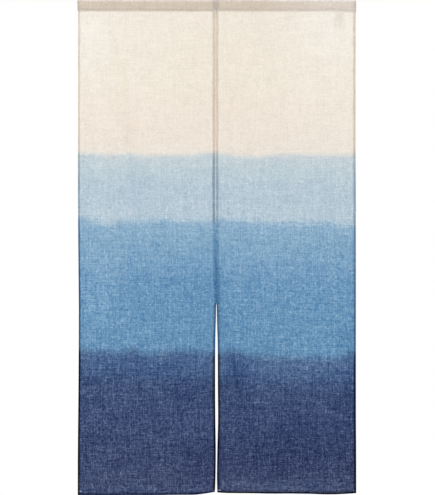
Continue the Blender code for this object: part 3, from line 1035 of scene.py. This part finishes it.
def makeSheer():
    # What a thin closed sheet's surface sends back and lets through, so that the Back share of the
    # cloth's colour comes back from it and the rest shines through.
    tree, inside, outside = newGroup(
        "sheerCloth",
        [("Colour", "Color", None), ("Back", "Float", 0.5)],
        [("Sends", "Color"), ("Lets", "Color")],
    )

    def vector(operation, a, b):
        return reckon(tree, operation, a, b, kind="VectorMath")

    back = vector("MULTIPLY", inside["Colour"], inside["Back"])
    through = vector("SUBTRACT", inside["Colour"], back)
    whole = vector("ADD", through, (1, 1, 1))
    sends = vector("DIVIDE", back, whole)
    bounces = vector("MULTIPLY", vector("ADD", whole, back), vector("SUBTRACT", whole, back))
    root = node(tree, "Gamma", {"Color": vector("MULTIPLY", through, bounces), "Gamma": 0.5})
    lets = vector("DIVIDE", root.outputs[0], whole)
    share = linenLook["letShare"]
    tree.links.new(vector("MULTIPLY", sends, (1 / (1 - share),) * 3), outside["Sends"])
    tree.links.new(vector("MULTIPLY", lets, (1 / share,) * 3), outside["Lets"])
    return tree


linenLook = {
    "letShare": 0.675,  # share of the shader that lets light through
    "rough": 0.92,
    "gloss": 0.04,
    "slub": 1.2,  # on the heading
    "shade": 0.19,  # how much darker twice as dense a thread looks where it isn't dyed
    "wick": 0.0030,  # dye creeps along the threads by about this
    "wickScale": (260, 42),
    "bump": 0.35,
    "bumpDepth": 0.00025,
    # the panels' natural linen, painted darker as shade
    "headingShadedColour": (229, 218, 205),
}
threadLook = {
    "natural": ((226, 216, 200), (240, 232, 218)),
    "paleBlue": ((158, 168, 208), (196, 202, 228)),
    "undyed": (232, 232, 228),
    "undyedShare": 0.04,  # dipped thread keeps this much of it
    "twist": 900.0,
    "rough": 0.55,
    "gloss": 0.3,
    "bump": 0.5,
    "bumpDepth": 0.0001,
}


def newMaterial(name):
    material = bpy.data.materials.new(name)
    material.use_nodes = True
    return material, material.node_tree, material.node_tree.nodes["Principled BSDF"]


def finishSheer(tree, shader, colour, height, rough, back):
    # Cloth that both sends light back and lets it through.
    bump = node(tree, "Bump", {
        "Height": height, "Strength": linenLook["bump"], "Distance": linenLook["bumpDepth"],
    })
    sheer = useGroup(tree, "sheer", {"Colour": colour, "Back": back})
    feed(tree, shader, {
        "Base Color": sheer.outputs["Sends"], "Roughness": rough,
        "Specular IOR Level": linenLook["gloss"], "Normal": bump.outputs[0],
    })
    through = node(tree, "BsdfTranslucent", {"Color": sheer.outputs["Lets"], "Normal": bump.outputs[0]})
    mix = node(tree, "MixShader", {0: linenLook["letShare"], 1: shader.outputs[0], 2: through.outputs[0]})
    tree.links.new(mix.outputs[0], tree.nodes["Material Output"].inputs["Surface"])


def dippedColour(tree, cut, seed):
    # The dye's colour at its level here, which creeps along the threads.
    wick = threadNoise(tree, cut, seed, linenLook["wickScale"], 2.0)
    shift = node(tree, "MapRange", {
        "Value": wick, "From Min": 0.25, "From Max": 0.75,
        "To Min": -linenLook["wick"], "To Max": linenLook["wick"],
    }, clamp=False)
    creep = reckon(tree, "ADD", written(tree, "dyeLevel"), shift.outputs[0])
    return useGroup(tree, "dye", {"Level": creep}).outputs["Colour"]


def wovenLinen(name, seed, dipped):
    # The panels' cloth is dipped, and its grain changes from band to band. The heading's is natural, with its
    # colour painted darker as shade and painted light and shade along its band.
    material, tree, shader = newMaterial(name)
    cut = node(tree, "UVMap", uv_map="cut").outputs[0]
    if dipped:
        colour = dippedColour(tree, cut, seed)
        slub, dyed, back = (written(tree, value) for value in ("grain", "dyed", "back"))
    else:
        colour = paint(*linenLook["headingShadedColour"])
        slub, dyed, back = linenLook["slub"], 0.0, linen["back"]
    slubs = useGroup(tree, "slubs", {"Cut": cut, "Seed": seed, "Slub": slub})
    yarn = useGroup(tree, "yarn", {
        "Colour": colour, "Density": slubs.outputs["Density"],
        "Uptake": written(tree, "dyeUptake"), "Dyed": dyed,
    })
    finishSheer(tree, shader, yarn.outputs[0], slubs.outputs["Height"], linenLook["rough"], back)
    return material


def labelRibbon():
    # A smooth narrow ribbon, woven in fine ribs.
    material, tree, shader = newMaterial("labelRibbon")
    cut = node(tree, "UVMap", uv_map="cut").outputs[0]
    split = node(tree, "SeparateXYZ", {0: cut})
    ribs = reckon(tree, "SINE", reckon(tree, "MULTIPLY", split.outputs["Y"], math.tau / label["ribPitch"]))
    mottle = node(tree, "TexNoise", {"Vector": cut, "Scale": 320.0, "Detail": 2.0})
    colour = mixed(tree, mottle.outputs["Fac"], *(paint(*shade) for shade in label["shades"]))
    finishSheer(tree, shader, colour, ribs, label["rough"], label["back"])
    return material


def sewingThread(name, shades=None):
    # Twisted thread of two shades, or dipped with the cloth, where it took a little less dye.
    material, tree, shader = newMaterial(name)
    place = node(tree, "TexCoord").outputs["Object"]
    twist = node(
        tree, "TexWave", {"Vector": place, "Scale": threadLook["twist"], "Distortion": 1.5, "Detail": 1.0},
        bands_direction="DIAGONAL",
    )
    if shades:
        mottle = node(tree, "TexNoise", {"Vector": place, "Scale": 240.0})
        colour = mixed(tree, mottle.outputs["Fac"], *(paint(*shade) for shade in shades))
    else:
        split = node(tree, "SeparateXYZ", {0: place})
        dye = useGroup(tree, "dye", {"Level": reckon(tree, "MULTIPLY", split.outputs["Z"], -1.0)})
        colour = mixed(tree, threadLook["undyedShare"], dye.outputs["Colour"], paint(*threadLook["undyed"]))
    bump = node(tree, "Bump", {
        "Height": twist.outputs["Fac"], "Strength": threadLook["bump"], "Distance": threadLook["bumpDepth"],
    })
    feed(tree, shader, {
        "Base Color": colour, "Roughness": threadLook["rough"],
        "Specular IOR Level": threadLook["gloss"], "Normal": bump.outputs[0],
    })
    return material


groups = {"dye": makeDyeBath(), "slubs": makeSlubs(), "yarn": makeYarn(), "sheer": makeSheer()}


# The curtain

def dress(piece, material, slot, *nodes):
    piece.data.materials.clear()
    piece.data.materials.append(material)
    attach(piece, "root")
    if nodes:
        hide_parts(*nodes)


def makeCurtain():
    cloths = {name: makePanel(name) for name in panels}
    dippedThread = sewingThread("dippedThread")
    stitches = {}
    for name, panel in panels.items():
        dipped = wovenLinen(name.replace("Cloth", "Linen"), panel["seed"], True)
        dress(cloths[name], dipped, panel["slot"], panel["node"])
        stitches[name] = hemStitches(name)
        dress(stitches[name], dippedThread, panel["slot"])
    cloths["heading"] = makeHeading()
    dress(cloths["heading"], wovenLinen("headingLinen", heading["seed"], False), "heading_cloth", "heading")
    stitches["heading"] = headingStitches()
    dress(stitches["heading"], sewingThread("naturalThread", threadLook["natural"]), "heading_cloth")
    dress(seamStitches(), dippedThread, "left_cloth")
    dress(cornerTacks(), sewingThread("paleBlueThread", threadLook["paleBlue"]), "right_cloth")
    careLabel = makeLabel()
    dress(careLabel, labelRibbon(), "label_cloth", "care_label")


makeCurtain()
print("curtain made")


# The room: a pale floor well below the curtain, even white light all round and a soft light at the side

studio = {
    "floorDrop": 1.95,
    "floorSize": 5.0,
    "floorShades": ((0.74, 0.73, 0.71, 1), (0.79, 0.78, 0.76, 1)),
    "white": 1.0,
    "sideLight": 22,
    "sideSize": 1.6,
    "sideFrom": (-3.2, -2.4, 1.3),
    "lens": 180,
    "pictureHeight": 1.5086,  # metres of the curtain that the picture takes in
    "pictureMiddle": (0.0015, -0.7573),
    "sensor": 36,
}


def makeFloor():
    selectOnly()
    bpy.ops.mesh.primitive_plane_add(size=studio["floorSize"], location=(0, 0.2, -studio["floorDrop"]))
    floor = bpy.context.active_object
    floor.name = "floor"
    material, tree, shader = newMaterial("floorPaint")
    place = node(tree, "TexCoord").outputs["Object"]
    speckle = node(tree, "TexNoise", {"Vector": place, "Scale": 9.0, "Detail": 4.0})
    colour = mixed(tree, speckle.outputs["Fac"], *studio["floorShades"])
    feed(tree, shader, {"Base Color": colour, "Roughness": 0.8})
    floor.data.materials.append(material)
    floor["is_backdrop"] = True


def makeLights():
    world = bpy.data.worlds.new("studio")
    world.use_nodes = True
    sky = world.node_tree.nodes["Background"]
    feed(world.node_tree, sky, {"Color": (1, 1, 1, 1), "Strength": studio["white"]})
    scene.world = world
    lamp = bpy.data.lights.new("sideLight", "AREA")
    lamp.energy = studio["sideLight"]
    lamp.size = studio["sideSize"]
    light = intoScene("sideLight", lamp, studio["sideFrom"])
    low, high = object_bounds()
    light.rotation_euler = ((low + high) / 2 - light.location).to_track_quat("-Z", "Y").to_euler()


def makeCamera():
    data = bpy.data.cameras.new("camera")
    data.lens = studio["lens"]
    data.sensor_width = studio["sensor"]
    x, z = studio["pictureMiddle"]
    away = studio["pictureHeight"] * studio["lens"] / studio["sensor"]
    camera = intoScene("camera", data, (x, -away, z))
    camera.rotation_euler = (math.radians(90), 0, 0)
    scene.camera = camera


makeFloor()
makeLights()
makeCamera()
scene.view_settings.view_transform = "Standard"
print("studio made")
